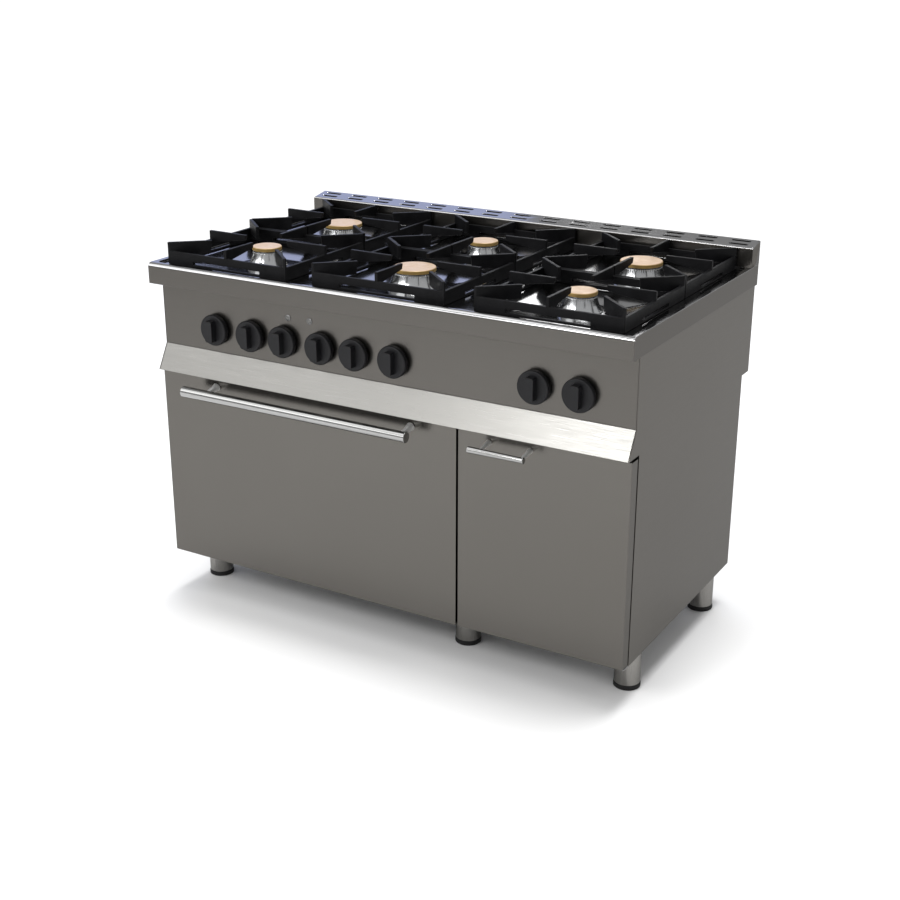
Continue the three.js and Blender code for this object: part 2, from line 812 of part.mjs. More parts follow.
function makeGrate(column, row) {
  const x = burnerColumns[column];
  const depth = burnerRows[row];
  const halfX = 165.5;
  const halfY = 153;
  const wall = 8;
  const base = recessTop + gap;
  const wallTop = 850;
  const finTop = 870;
  const box = (x0, x1, y0, y1, z0, z1) => block(x + x0, x + x1, depth + y0, depth + y1, z0, z1);
  const outside = box(-halfX, halfX, -halfY, halfY, base, finTop);
  const ring = box(-halfX, halfX, -halfY, halfY, base, wallTop).subtract(
    box(-halfX + wall, halfX - wall, -halfY + wall, halfY - wall, base - reach, wallTop + reach));
  const slots = [
    box(-93, 93, -halfY - reach, halfY + reach, 825, 833),
    box(-halfX - reach, halfX + reach, -66, 66, 824, 831),
  ];
  const fins = [];
  const finWidth = 8;
  const drawFin = (length, tipTop, tipBottom, rootBottom, angle) => {
    const side = polygon([
      [0, rootBottom],
      [0, finTop],
      [length, finTop - tipTop],
      [length - 3, tipBottom],
    ]);
    const geometry = new THREE.ExtrudeGeometry(side, { depth: finWidth, bevelEnabled: false });
    geometry.translate(0, 0, -finWidth / 2);
    geometry.rotateX(Math.PI / 2);
    geometry.rotateZ(angle);
    return geometry;
  };
  const corner = Math.atan2(halfY, halfX);
  const cornerReach = Math.hypot(halfX, halfY);
  const cornerTip = 125;
  for (const angle of [corner, Math.PI - corner, Math.PI + corner, -corner]) {
    const fin = drawFin(cornerReach + 4 - cornerTip, 0, 840, 838, angle + Math.PI);
    fin.translate(x + (cornerReach + 4) * Math.cos(angle),
      yAt(depth) + (cornerReach + 4) * Math.sin(angle), 0);
    fins.push(solidOf(fin).intersect(outside));
  }
  const mids = [[0, halfX, 58], [Math.PI, halfX, 58], [Math.PI / 2, halfY, 53],
    [-Math.PI / 2, halfY, 53]];
  for (const [angle, half, tip] of mids) {
    const fin = drawFin(half - tip, 0.5, 857, 842, angle + Math.PI);
    fin.translate(x + half * Math.cos(angle), yAt(depth) + half * Math.sin(angle), 0);
    fins.push(solidOf(fin));
  }
  const name = `grate_${rowNames[row]}_${columnNames[column]}`;
  addNode(name, joined([without(ring, slots), ...fins]), castIron());
}

// ---- Feet ----

// A screw foot: a tube on a round base, with a stud that screws into the base panel.
function makeFoot({ name, x, depth }) {
  const outline = [
    [0, 0],
    [30, 0],
    [30, 10],
    [29, 12],
    [29, bodyBottom - gap],
    [27, bodyBottom - gap],
    [27, 14],
    [studRadius, 14],
    [studRadius, studTop],
    [0, studTop],
  ];
  addNode(name, turned(outline, x, depth, 16), brightSteel());
}

// ---- The whole range ----

makeWorktop();
makeFlueRiser();
makeControlPanel();
makeFrontRail();
makeSidePanel('side_panel_left', -1);
makeSidePanel('side_panel_right', 1);
makeBackPanel();
makeBasePanel();
makeFrontFrame();
makeCabinetLiner();
makeOvenLiner();
makeOvenInsulation();
makeOvenFloorPlate();
makeOvenRack();
makeHeatingElements();
makeOvenGasket();
makeOvenDoorOuter();
makeOvenDoorInner();
makeOvenDoorHinge();
makeHandle('oven_door_handle',
  { left: -502, right: 103, depth: -19.5, z: 538.5, radius: 12.5 },
  { columns: [-440, 86], base: 10, tip: 6, rise: 8 });
makeCabinetDoor();
makeCabinetDoorHinge();
makeHandle('cabinet_door_handle',
  { left: 250, right: 380, depth: -17, z: 539.5, radius: 7 },
  { columns: [277, 373], base: 6, tip: 4, rise: 8 });
gasKnobs.forEach(({ x, column, row }) =>
  makeKnob(`burner_knob_${rowNames[row]}_${columnNames[column]}`, x));
ovenKnobs.forEach(({ x, name }) => makeKnob(name, x));
makeGasManifold();
makeOvenControls();
makeLamp(lampNames[0], lampColumns[0], 0xb8bcb4);
makeLamp(lampNames[1], lampColumns[1], 0xb8bcb4);
for (let row = 0; row < burnerRows.length; row += 1) {
  for (let column = 0; column < burnerColumns.length; column += 1) {
    makeBurner(column, row);
    makeGrate(column, row);
  }
}
footPlaces.forEach(makeFoot);

export default range;
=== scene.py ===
"""Looks for a six-burner commercial gas range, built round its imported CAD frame.

Metres. X runs to the user's right, Y to the rear and Z up; the floor is at z = 0.
Every place is taken from the CAD nodes' own boxes, so the pieces stand where the frame says.
"""

import json
import math
import random

import bmesh
import bpy
from mathutils import Matrix, Vector

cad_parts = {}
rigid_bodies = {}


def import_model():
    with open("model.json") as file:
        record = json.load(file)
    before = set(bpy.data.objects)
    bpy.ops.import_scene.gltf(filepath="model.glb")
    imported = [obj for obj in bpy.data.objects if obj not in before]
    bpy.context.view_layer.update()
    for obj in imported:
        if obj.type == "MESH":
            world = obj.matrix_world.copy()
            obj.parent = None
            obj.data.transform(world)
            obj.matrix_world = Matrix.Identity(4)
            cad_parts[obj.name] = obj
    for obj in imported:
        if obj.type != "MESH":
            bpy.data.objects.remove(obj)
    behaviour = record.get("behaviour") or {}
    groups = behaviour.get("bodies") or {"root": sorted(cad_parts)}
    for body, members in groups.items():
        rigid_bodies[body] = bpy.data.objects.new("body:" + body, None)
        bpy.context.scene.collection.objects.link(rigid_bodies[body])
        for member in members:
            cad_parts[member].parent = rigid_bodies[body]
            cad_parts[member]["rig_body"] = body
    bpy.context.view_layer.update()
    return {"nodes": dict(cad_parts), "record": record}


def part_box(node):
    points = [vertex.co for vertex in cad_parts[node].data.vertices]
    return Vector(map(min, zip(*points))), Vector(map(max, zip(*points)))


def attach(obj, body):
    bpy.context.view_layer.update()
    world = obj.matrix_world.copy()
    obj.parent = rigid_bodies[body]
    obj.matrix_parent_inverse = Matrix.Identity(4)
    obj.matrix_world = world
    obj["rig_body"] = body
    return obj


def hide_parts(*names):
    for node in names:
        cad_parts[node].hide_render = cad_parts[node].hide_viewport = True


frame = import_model()

MM = 0.001
ROWS = ("front", "rear")
COLUMNS = ("left", "middle", "right")
PLACES = [f"{row}_{column}" for row in ROWS for column in COLUMNS]
BODY = "range_body"
scene = bpy.context.scene
draw = random.Random(7)

# ---- Materials ----


class Surface:
    """A Principled material with short ways to add the nodes that all of them use."""

    def __init__(self, name, color, metallic=0.0, roughness=0.5, **sockets):
        self.material = bpy.data.materials.new(name)
        self.material.use_nodes = True
        self.tree = self.material.node_tree
        self.shader = self.tree.nodes["Principled BSDF"]
        self.shader.inputs["Base Color"].default_value = (*color, 1.0)
        self.shader.inputs["Metallic"].default_value = metallic
        self.shader.inputs["Roughness"].default_value = roughness
        for socket, value in sockets.items():
            self.shader.inputs[socket.replace("_", " ")].default_value = value
        self.coords = self.tree.nodes.new("ShaderNodeTexCoord").outputs["Object"]
        self.normal = None

    def link(self, source, target):
        self.tree.links.new(source, target)

    def noise(self, scale, detail=3.0, roughness=0.55):
        """Noise in object space; scale is features per metre, one number or one for each axis."""
        mapping = self.tree.nodes.new("ShaderNodeMapping")
        mapping.inputs["Scale"].default_value = (
            scale if isinstance(scale, tuple) else (scale,) * 3
        )
        self.link(self.coords, mapping.inputs["Vector"])
        texture = self.tree.nodes.new("ShaderNodeTexNoise")
        texture.inputs["Scale"].default_value = 1.0
        texture.inputs["Detail"].default_value = detail
        texture.inputs["Roughness"].default_value = roughness
        self.link(mapping.outputs["Vector"], texture.inputs["Vector"])
        return texture.outputs["Fac"]

    def ramp(self, source, low, high, start=0.3, end=0.7):
        """Maps start..end of the source to low..high."""
        node = self.tree.nodes.new("ShaderNodeMapRange")
        node.inputs["From Min"].default_value = start
        node.inputs["From Max"].default_value = end
        node.inputs["To Min"].default_value = low
        node.inputs["To Max"].default_value = high
        self.link(source, node.inputs["Value"])
        return node.outputs["Result"]

    def math(self, operation, a, b):
        node = self.tree.nodes.new("ShaderNodeMath")
        node.operation = operation
        for value, socket in zip((a, b), node.inputs):
            if isinstance(value, (int, float)):
                socket.default_value = value
            else:
                self.link(value, socket)
        return node.outputs["Value"]

    def mix(self, share, first, second):
        """Colour between two colours, each three numbers or another node's output."""
        node = self.tree.nodes.new("ShaderNodeMix")
        node.data_type = "RGBA"
        self.link(share, node.inputs["Factor"])
        ends = [socket for socket in node.inputs if socket.type == "RGBA"]
        for value, socket in zip((first, second), ends):
            if isinstance(value, tuple):
                socket.default_value = (*value, 1.0)
            else:
                self.link(value, socket)
        return [o for o in node.outputs if o.type == "RGBA"][0]

    def color(self, source):
        self.link(source, self.shader.inputs["Base Color"])

    def roughness(self, source):
        self.link(source, self.shader.inputs["Roughness"])

    def bump(self, source, strength, distance):
        node = self.tree.nodes.new("ShaderNodeBump")
        node.inputs["Strength"].default_value = strength
        node.inputs["Distance"].default_value = distance
        self.link(source, node.inputs["Height"])
        if self.normal is not None:
            self.link(self.normal, node.inputs["Normal"])
        self.normal = node.outputs["Normal"]
        self.link(self.normal, self.shader.inputs["Normal"])


def brushed(name, tint, grain, rough=(0.28, 0.33), strength=0.05, shade=0.03):
    """Satin stainless sheet: fine scratches along one axis over a faint cloudy variation."""
    surface = Surface(name, tint, metallic=1.0, roughness=sum(rough) / 2)
    surface.shader.inputs["Specular Tint"].default_value = (0.6, 0.6, 0.6, 1.0)
    fine = surface.noise(grain, detail=4.0, roughness=0.65)
    cloud = surface.noise(3.2, detail=3.0)
    speck = surface.noise(tuple(1.6 * g for g in grain), detail=3.0, roughness=0.6)
    both = surface.math("ADD", surface.math("MULTIPLY", fine, 0.6),
                        surface.math("MULTIPLY", cloud, 0.4))
    dark = tuple(c * (1 - shade) for c in tint)
    light = tuple(c * (1 + shade) for c in tint)
    surface.color(surface.mix(surface.ramp(both, 0.0, 1.0), dark, light))
    surface.roughness(surface.ramp(speck, *rough))
    surface.bump(fine, strength, 0.1 * MM)
    return surface.material


def polished(name, tint, rough=(0.08, 0.16), shade=0.05):
    """Polished or plated steel, with faint hand marks that only change the gloss."""
    surface = Surface(name, tint, metallic=1.0, roughness=rough[0])
    marks = surface.noise(38.0, detail=5.0, roughness=0.6)
    surface.roughness(surface.ramp(marks, *rough))
    surface.color(surface.mix(surface.ramp(marks, 0.0, 1.0),
                              tuple(c * (1 - shade) for c in tint), tint))
    surface.bump(surface.noise(900.0, detail=2.0), 0.03, 0.02 * MM)
    return surface.material


def cast_iron():
    """Black enamelled casting: a pebbled skin, satin, greyer where it is rubbed."""
    surface = Surface("cast_iron_enamel", (0.006, 0.006, 0.007), roughness=0.5,
                      Specular_IOR_Level=0.1)
    pebble = surface.noise(520.0, detail=3.0)
    patch = surface.noise(26.0, detail=4.0, roughness=0.6)
    surface.color(surface.mix(surface.ramp(patch, 0.0, 1.0, 0.35, 0.75),
                              (0.0035, 0.0035, 0.004), (0.008, 0.008, 0.009)))
    surface.roughness(surface.ramp(patch, 0.4, 0.6))
    surface.bump(pebble, 0.35, 0.35 * MM)
    surface.bump(patch, 0.2, 0.8 * MM)
    return surface.material


def moulded_plastic(name, tint, rough, coat=0.0):
    surface = Surface(name, tint, roughness=rough, Coat_Weight=coat, Specular_IOR_Level=0.22)
    surface.shader.inputs["Coat Roughness"].default_value = 0.2
    grain = surface.noise(900.0, detail=2.0)
    wipe = surface.noise(60.0, detail=3.0)
    surface.roughness(surface.ramp(wipe, rough * 0.85, rough * 1.25))
    surface.color(surface.mix(surface.ramp(wipe, 0.0, 1.0), tint,
                              tuple(c * 1.35 for c in tint)))
    surface.bump(grain, 0.12, 0.08 * MM)
    return surface.material


def burner_brass():
    """Brass cap: a matt top over a yellower rim; the top's paler, lighter colour and the rim's
    darker one, chosen by which way each face looks, are painted light and shade. The patina and
    spots are the metal's own.
    """
    surface = Surface("burner_brass", (0.74, 0.50, 0.36), metallic=0.35, roughness=0.5)
    axes = surface.tree.nodes.new("ShaderNodeSeparateXYZ")
    texture_coords = surface.tree.nodes.new("ShaderNodeTexCoord")
    surface.link(texture_coords.outputs["Normal"], axes.inputs["Vector"])
    patina = surface.noise(70.0, detail=5.0, roughness=0.65)
    spots = surface.noise(330.0, detail=3.0)
    top = surface.mix(surface.ramp(patina, 0.0, 1.0), (0.54, 0.41, 0.30), (0.48, 0.35, 0.24))
    top = surface.mix(surface.ramp(spots, 0.0, 0.35, 0.55, 0.75), top, (0.42, 0.26, 0.16))
    rim = surface.mix(surface.ramp(patina, 0.0, 1.0), (0.38, 0.25, 0.07), (0.27, 0.17, 0.055))
    # Faces that look up take the lighter top colour, the rest the darker rim colour: painted light
    # and shade.
    up = surface.ramp(axes.outputs["Z"], 0.0, 1.0, 0.55, 0.9)
    surface.color(surface.mix(up, rim, top))
    surface.roughness(surface.ramp(patina, 0.42, 0.6))
    surface.bump(spots, 0.2, 0.2 * MM)
    return surface.material


def speckled_enamel():
    """Vitreous enamel, near black with fine pale specks under a glassy coat."""
    surface = Surface("speckled_enamel", (0.03, 0.034, 0.042), roughness=0.28,
                      Coat_Weight=0.6, Coat_Roughness=0.08)
    specks = surface.noise(640.0, detail=1.0)
    surface.color(surface.mix(surface.ramp(specks, 0.0, 1.0, 0.66, 0.72),
                              (0.028, 0.031, 0.04), (0.30, 0.32, 0.36)))
    surface.roughness(surface.ramp(surface.noise(24.0, detail=4.0), 0.22, 0.4))
    surface.bump(surface.noise(120.0, detail=2.0), 0.12, 0.4 * MM)
    return surface.material


def mineral_wool():
    surface = Surface("mineral_wool", (0.52, 0.45, 0.25), roughness=0.95, Sheen_Weight=0.3)
    fibres = surface.noise((90.0, 700.0, 700.0), detail=6.0, roughness=0.75)
    surface.color(surface.mix(surface.ramp(fibres, 0.0, 1.0), (0.36, 0.30, 0.15),
                              (0.66, 0.58, 0.36)))
    surface.bump(fibres, 0.9, 1.5 * MM)
    return surface.material


def lens(name, tint):
    surface = Surface(name, tint, roughness=0.3, Transmission_Weight=0.2, IOR=1.49)
    ribs = surface.noise(700.0, detail=1.0)
    surface.color(surface.mix(surface.ramp(ribs, 0.0, 1.0), tint, tuple(0.8 * c for c in tint)))
    surface.roughness(surface.ramp(ribs, 0.26, 0.4))
    surface.bump(ribs, 0.15, 0.2 * MM)
    return surface.material


STEEL = (0.108, 0.102, 0.094)
ALONG_X = (9.0, 900.0, 900.0)
ALONG_Y = (900.0, 9.0, 900.0)
MATERIALS = {
    "body_steel": brushed("satin_steel_body", STEEL, ALONG_X),
    # Side steel: a lighter tint than the body steel, painted light on the side panels; the grain
    # along Y is real.
    "side_steel": brushed("satin_steel_side_painted_light", (0.136, 0.129, 0.118), ALONG_Y),
    # Top steel: its tint, near four times the body steel's, is painted light on the faces that
    # look up; its lower roughness is real gloss.
    "top_steel": brushed("satin_steel_top_painted_light", (0.42, 0.42, 0.425), ALONG_X, (0.10, 0.16), 0.03),
    "door_steel": brushed("satin_steel_door", (0.116, 0.110, 0.101), ALONG_X, (0.22, 0.26)),
    # Rail steel: a tint near twice the body steel's, painted light on the up-tilted rail; its
    # rougher grain is real.
    "rail_steel": brushed("satin_steel_rail_painted_light", (0.20, 0.197, 0.187), ALONG_X, (0.26, 0.4)),
    "inner_steel": brushed("plain_steel_inner", (0.24, 0.24, 0.24), ALONG_X, (0.34, 0.5)),
    "foot_steel": brushed("satin_steel_foot", (0.24, 0.233, 0.22), (260.0, 260.0, 14.0),
                          (0.18, 0.3)),
    "hinge_steel": brushed("plain_steel_hinge", (0.26, 0.26, 0.26), ALONG_X, (0.3, 0.45)),
    "control_steel": brushed("zinc_plated_steel", (0.34, 0.34, 0.32), (300.0,) * 3,
                             (0.28, 0.42), shade=0.15),
    "gas_pipe": brushed("gas_pipe_steel", (0.28, 0.27, 0.25), (200.0,) * 3, (0.3, 0.45),
                        shade=0.12),
    "element_steel": brushed("element_sheath", (0.07, 0.066, 0.06), (400.0,) * 3, (0.4, 0.6),
                             shade=0.25),
    "handle_steel": polished("polished_handle", (0.34, 0.34, 0.335), (0.08, 0.14)),
    # Post steel: a near-white tint, near three times the bar's, is a painted highlight on the
    # posts.
    "post_steel": polished("post_steel_painted_highlight", (0.95, 0.95, 0.94), (0.45, 0.55)),
    "burner_steel": polished("polished_burner", (0.62, 0.63, 0.64), (0.16, 0.2), shade=0.05),
    "rack_chrome": polished("plated_wire", (0.60, 0.60, 0.60), (0.1, 0.22)),
    "cap_brass": burner_brass(),
    "cast_iron": cast_iron(),
    "knob_plastic": moulded_plastic("knob_plastic", (0.007, 0.007, 0.008), 0.45),
    "foot_rubber": moulded_plastic("foot_rubber", (0.012, 0.012, 0.012), 0.6),
    "gasket_rubber": moulded_plastic("gasket_rubber", (0.025, 0.024, 0.024), 0.75),
    "lamp_lens": lens("lamp_lens", (0.20, 0.20, 0.19)),
    "oven_enamel": speckled_enamel(),
    "insulation_wool": mineral_wool(),
}

# ---- Mesh tools ----


def box_centre(node):
    low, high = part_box(node)
    return (low + high) / 2


def add_piece(name, bm, finish, body, replaces=(), sharp=38):
    """Makes the object, shades it, and hangs it on its CAD body."""
    bmesh.ops.recalc_face_normals(bm, faces=bm.faces)
    mesh = bpy.data.meshes.new(name)
    bm.to_mesh(mesh)
    bm.free()
    mesh.polygons.foreach_set("use_smooth", [True] * len(mesh.polygons))
    mesh.set_sharp_from_angle(angle=math.radians(sharp))
    for material in (finish if isinstance(finish, (list, tuple)) else [finish]):
        mesh.materials.append(MATERIALS[material])
    obj = bpy.data.objects.new(name, mesh)
    scene.collection.objects.link(obj)
    normals = obj.modifiers.new("weighted_normals", "WEIGHTED_NORMAL")
    normals.keep_sharp = True
    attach(obj, body)
    if replaces:
        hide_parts(*replaces)
    return obj


def sharp_edges(bm, angle=32):
    limit = math.radians(angle)
    return [e for e in bm.edges if len(e.link_faces) == 2 and e.calc_face_angle() > limit]


def soften(bm, edges, width, segments=2):
    bmesh.ops.bevel(bm, geom=edges, offset=width, offset_type="OFFSET", segments=segments,
                    profile=0.5, affect="EDGES", clamp_overlap=False)


def cad_mesh(node):
    """The CAD node's own mesh as a bmesh, with its flat faces whole again."""
    bm = bmesh.new()
    bm.from_mesh(frame["nodes"][node].data)
    bmesh.ops.remove_doubles(bm, verts=bm.verts, dist=1e-6)
    bmesh.ops.dissolve_limit(bm, angle_limit=math.radians(0.8), verts=bm.verts, edges=bm.edges)
    return bm


def body_of(node):
    return frame["nodes"][node]["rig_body"]


def slot_of(node):
    for part in frame["record"]["subparts"]:
        if part["node"] == node:
            return part["material_slot"]
    raise KeyError(node)


def softened_copy(node, width, finish=None, segments=2):
    """A CAD sheet or casting again, with the small radius that a real edge has."""
    bm = cad_mesh(node)
    soften(bm, sharp_edges(bm), width, segments)
    add_piece(f"{node}_finished", bm, finish or slot_of(node), body_of(node),
              [node])


def filleted(points, radius, steps=4):
    """The outline with each inner corner rounded; a radius list gives one for each corner."""
    radii = radius if isinstance(radius, list) else [radius] * len(points)
    out = [points[0]]
    for i in range(1, len(points) - 1):
        before, here, after = (Vector(p) for p in points[i - 1:i + 2])
        room = min((before - here).length, (after - here).length) * 0.45
        cut = min(radii[i], room)
        if cut < 1e-6:
            out.append(tuple(here))
            continue
        start = here + (before - here).normalized() * cut
        end = here + (after - here).normalized() * cut
        for k in range(steps + 1):
            t = k / steps
            out.append(tuple((1 - t) ** 2 * start + 2 * t * (1 - t) * here + t * t * end))
    out.append(points[-1])
    return out


def turned(bm, outline, place, sides=64, closed=False, shape=None, index=0):
    """Turns an outline of (radius, height) about the Z axis of place.

    shape(angle, radius, height) may return another radius, for flutes and slots.
    """
    rings = []
    for radius, height in outline:
        if radius < 1e-6:
            rings.append([bm.verts.new(place @ Vector((0, 0, height)))])
            continue
        ring = []
        for i in range(sides):
            angle = 2 * math.pi * i / sides
            r = shape(angle, radius, height) if shape else radius
            ring.append(bm.verts.new(place @ Vector(
                (r * math.cos(angle), r * math.sin(angle), height))))
        rings.append(ring)
    pairs = list(zip(rings, rings[1:]))
    if closed:
        pairs.append((rings[-1], rings[0]))
    for lower, upper in pairs:
        for i in range(sides):
            j = (i + 1) % sides
            corners = [lower[i % len(lower)], lower[j % len(lower)],
                       upper[j % len(upper)], upper[i % len(upper)]]
            corners = [v for k, v in enumerate(corners) if v not in corners[:k]]
            if len(corners) > 2:
                bm.faces.new(corners).material_index = index


def tube(bm, points, radius, sides=16, closed=False, end_round=0.0):
    """A round bar along points in space, with its ends rounded off by end_round."""
    points = [Vector(p) for p in points]
    radii = [radius] * len(points)
    if end_round:
        head = (points[1] - points[0]).normalized()
        tail = (points[-1] - points[-2]).normalized()
        steps = 5
        start, end = [], []
        for k in range(steps + 1):
            angle = math.pi / 2 * k / steps
            back = end_round * (1 - math.sin(angle))
            ring = radius - end_round * (1 - math.cos(angle))
            start.append((points[0] + head * back, ring))
            end.append((points[-1] - tail * back, ring))
        start.reverse()
        whole = start + list(zip(points[1:-1], radii[1:-1])) + list(reversed(end))
        points, radii = [p for p, _ in whole], [r for _, r in whole]
    count = len(points)
    rings = []
    side = None
    for i, here in enumerate(points):
        if closed:
            along = points[(i + 1) % count] - points[i - 1]
        else:
            along = points[min(i + 1, count - 1)] - points[max(i - 1, 0)]
        along.normalize()
        if side is None:
            side = along.orthogonal().normalized()
        side = (side - along * side.dot(along)).normalized()
        up = along.cross(side)
        rings.append([bm.verts.new(here + radii[i] * (
            side * math.cos(2 * math.pi * k / sides) + up * math.sin(2 * math.pi * k / sides)))
            for k in range(sides)])
    pairs = list(zip(rings, rings[1:]))
    if closed:
        pairs.append((rings[-1], rings[0]))
    for first, second in pairs:
        for k in range(sides):
            m = (k + 1) % sides
            bm.faces.new((first[k], first[m], second[m], second[k]))
    if not closed:
        bm.faces.new(rings[0])
        bm.faces.new(list(reversed(rings[-1])))


def prism(bm, outline, place, height, width, segments=2, taper=1.0):
    """An upright prism on an outline of (u, v), its upper edge rounded by width."""
    low = [bm.verts.new(place @ Vector((u, v, 0))) for u, v in outline]
    high = [bm.verts.new(place @ Vector((u * taper, v * taper, height))) for u, v in outline]
    bm.faces.new(list(reversed(low)))
    top = bm.faces.new(high)
    count = len(outline)
    for i in range(count):
        j = (i + 1) % count
        bm.faces.new((low[i], low[j], high[j], high[i]))
    soften(bm, list(top.edges), width, segments)


def stadium(length, width, steps=10):
    half = length / 2 - width / 2
    points = []
    for end, start in ((1, -math.pi / 2), (-1, math.pi / 2)):
        for k in range(steps + 1):
            angle = start + math.pi * k / steps
            points.append((end * half + width / 2 * math.cos(angle), width / 2 * math.sin(angle)))
    return points


def facing(point, axis):
    """A place whose Z axis is axis."""
    return Matrix.Translation(point) @ Vector(axis).to_track_quat("Z", "Y").to_matrix().to_4x4()


def rounded_loop(low_x, high_x, low_y, high_y, z, radius, steps=6):
    points = []
    corners = ((high_x, high_y, 0), (low_x, high_y, 90), (low_x, low_y, 180), (high_x, low_y, 270))
    for x, y, start in corners:
        cx = x - math.copysign(radius, x - (low_x + high_x) / 2)
        cy = y - math.copysign(radius, y - (low_y + high_y) / 2)
        for k in range(steps + 1):
            angle = math.radians(start + 90 * k / steps)
            points.append((cx + radius * math.cos(angle), cy + radius * math.sin(angle), z))
    return points


# ---- Sheet metal ----

RECESS_DEPTH = 5 * MM
RECESS_CORNER, EDGE_RADIUS, WELL_CREASE = 14 * MM, 0.8 * MM, 5 * MM
WELL_HALF_X, WELL_HALF_Y = 157 * MM, 139 * MM
FLUE_SLOTS, FLUE_PITCH = 15, 80 * MM
SLOT_LENGTH, SLOT_WIDTH = 46 * MM, 9 * MM
SLOT_ROWS = (16 * MM, 35 * MM)
FLUE_SLOPE = 8 / 42


def paint_light_on_upward_faces(bm, lean=0.3):
    """Gives the faces that look up the second material, whose far lighter tint is painted light
    from above, and leaves upright faces the first.
    """
    bm.normal_update()
    for face in bm.faces:
        face.material_index = int(face.normal.z > lean)


def make_worktop():
    """The pressed top: its recess has round corners, and its outer edges are eased."""
    bm = cad_mesh("worktop")
    _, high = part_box("worktop")
    recess_floor = high.z - RECESS_DEPTH
    corners = []
    for edge in bm.edges:
        a, b = (v.co for v in edge.verts)
        upright = abs(a.x - b.x) < 1e-5 and abs(a.y - b.y) < 1e-5
        if upright and abs(min(a.z, b.z) - recess_floor) < 1e-4 and abs(
                max(a.z, b.z) - high.z) < 1e-4:
            corners.append(edge)
    soften(bm, corners, RECESS_CORNER, 6)
    soften(bm, sharp_edges(bm), EDGE_RADIUS, 2)
    burners = [box_centre(f"burner_{place_name}") for place_name in PLACES]

    def in_well(point):
        return point.z < recess_floor + 1e-4 and any(
            abs(point.x - b.x) < WELL_HALF_X and abs(point.y - b.y) < WELL_HALF_Y
            for b in burners)

    pressed = [e for e in bm.edges if len(e.link_faces) == 2
               and math.radians(4) < e.calc_face_angle() < math.radians(24)
               and all(in_well(v.co) for v in e.verts)]
    soften(bm, pressed, WELL_CREASE, 3)
    # Faces that look up take the lighter top steel: painted light from above.
    paint_light_on_upward_faces(bm)
    add_piece("worktop_finished", bm, ["body_steel", "top_steel"], BODY,
              ["worktop"])


def make_flue():
    """A folded riser with a sloping top and two rows of slots, as one sheet with its thickness."""
    low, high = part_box("flue_riser")
    sheet = 2 * MM
    fold = 3.5 * MM
    bm = bmesh.new()
    loops = [[(low.x, low.y), (high.x, low.y), (high.x, high.y), (low.x, high.y)]]
    for i in range(FLUE_SLOTS):
        x = (i - (FLUE_SLOTS - 1) / 2) * FLUE_PITCH
        for row in SLOT_ROWS:
            loops.append([(x + u, low.y + row + v)
                          for u, v in stadium(SLOT_LENGTH, SLOT_WIDTH, 8)])
    edges = []
    for loop in loops:
        verts = [bm.verts.new((x, y, high.z)) for x, y in loop]
        edges += [bm.edges.new((verts[i], verts[(i + 1) % len(verts)]))
                  for i in range(len(verts))]
    bmesh.ops.triangle_fill(bm, use_beauty=True, use_dissolve=False, edges=edges)
    bmesh.ops.recalc_face_normals(bm, faces=bm.faces)
    if sum(f.normal.z for f in bm.faces) < 0:
        bmesh.ops.reverse_faces(bm, faces=bm.faces)
    bmesh.ops.dissolve_limit(bm, angle_limit=0.01, verts=bm.verts, edges=bm.edges)
    for vert in bm.verts:
        vert.co.z -= (high.y - vert.co.y) * FLUE_SLOPE
    wall_edges = [e for e in bm.edges if e.is_boundary and all(
        min(abs(v.co.x - low.x), abs(v.co.x - high.x), abs(v.co.y - low.y),
            abs(v.co.y - high.y)) < 1e-6 for v in e.verts)]
    made = bmesh.ops.extrude_edge_only(bm, edges=wall_edges)
    for item in made["geom"]:
        if isinstance(item, bmesh.types.BMVert):
            item.co.z = low.z
    soften(bm, sharp_edges(bm), fold, 4)
    for vert in bm.verts:
        vert.co.y = min(vert.co.y, high.y)
    bmesh.ops.recalc_face_normals(bm, faces=bm.faces)
    if sum(f.normal.z * f.calc_area() for f in bm.faces) < 0:
        bmesh.ops.reverse_faces(bm, faces=bm.faces)
    # Faces that look up take the lighter top steel: painted light from above.
    paint_light_on_upward_faces(bm)
    obj = add_piece("flue_riser_finished", bm, ["body_steel", "top_steel"], BODY,
                    ["flue_riser"])
    thick = obj.modifiers.new("sheet", "SOLIDIFY")
    thick.thickness = sheet
    thick.offset = -1.0
    obj.modifiers.move(1, 0)


make_worktop()
make_flue()
softened_copy("control_panel", 0.6 * MM)
# The front rail takes the rail steel, whose lighter tint is painted light.
softened_copy("front_rail", 0.8 * MM, "rail_steel")
# The side panels take the side steel, whose lighter tint is painted light.
softened_copy("side_panel_left", 0.7 * MM, "side_steel")
softened_copy("side_panel_right", 0.7 * MM, "side_steel")
softened_copy("back_panel", 0.6 * MM)
softened_copy("front_frame", 0.5 * MM)
softened_copy("base_panel", 0.5 * MM)
softened_copy("cabinet_liner", 0.6 * MM, "inner_steel")
softened_copy("oven_door_outer", 0.9 * MM, segments=3)
softened_copy("oven_door_inner", 0.6 * MM)
softened_copy("cabinet_door", 0.9 * MM, segments=3)
softened_copy("oven_door_hinge", 0.5 * MM)
softened_copy("cabinet_door_hinge", 0.5 * MM)
softened_copy("oven_liner", 0.7 * MM)
softened_copy("oven_floor_plate", 0.6 * MM)
softened_copy("oven_door_gasket", 1.6 * MM, segments=3)

# ---- Handles, knobs and lamps ----


POST_STEPS, POST_FLARE = 10, 2.2


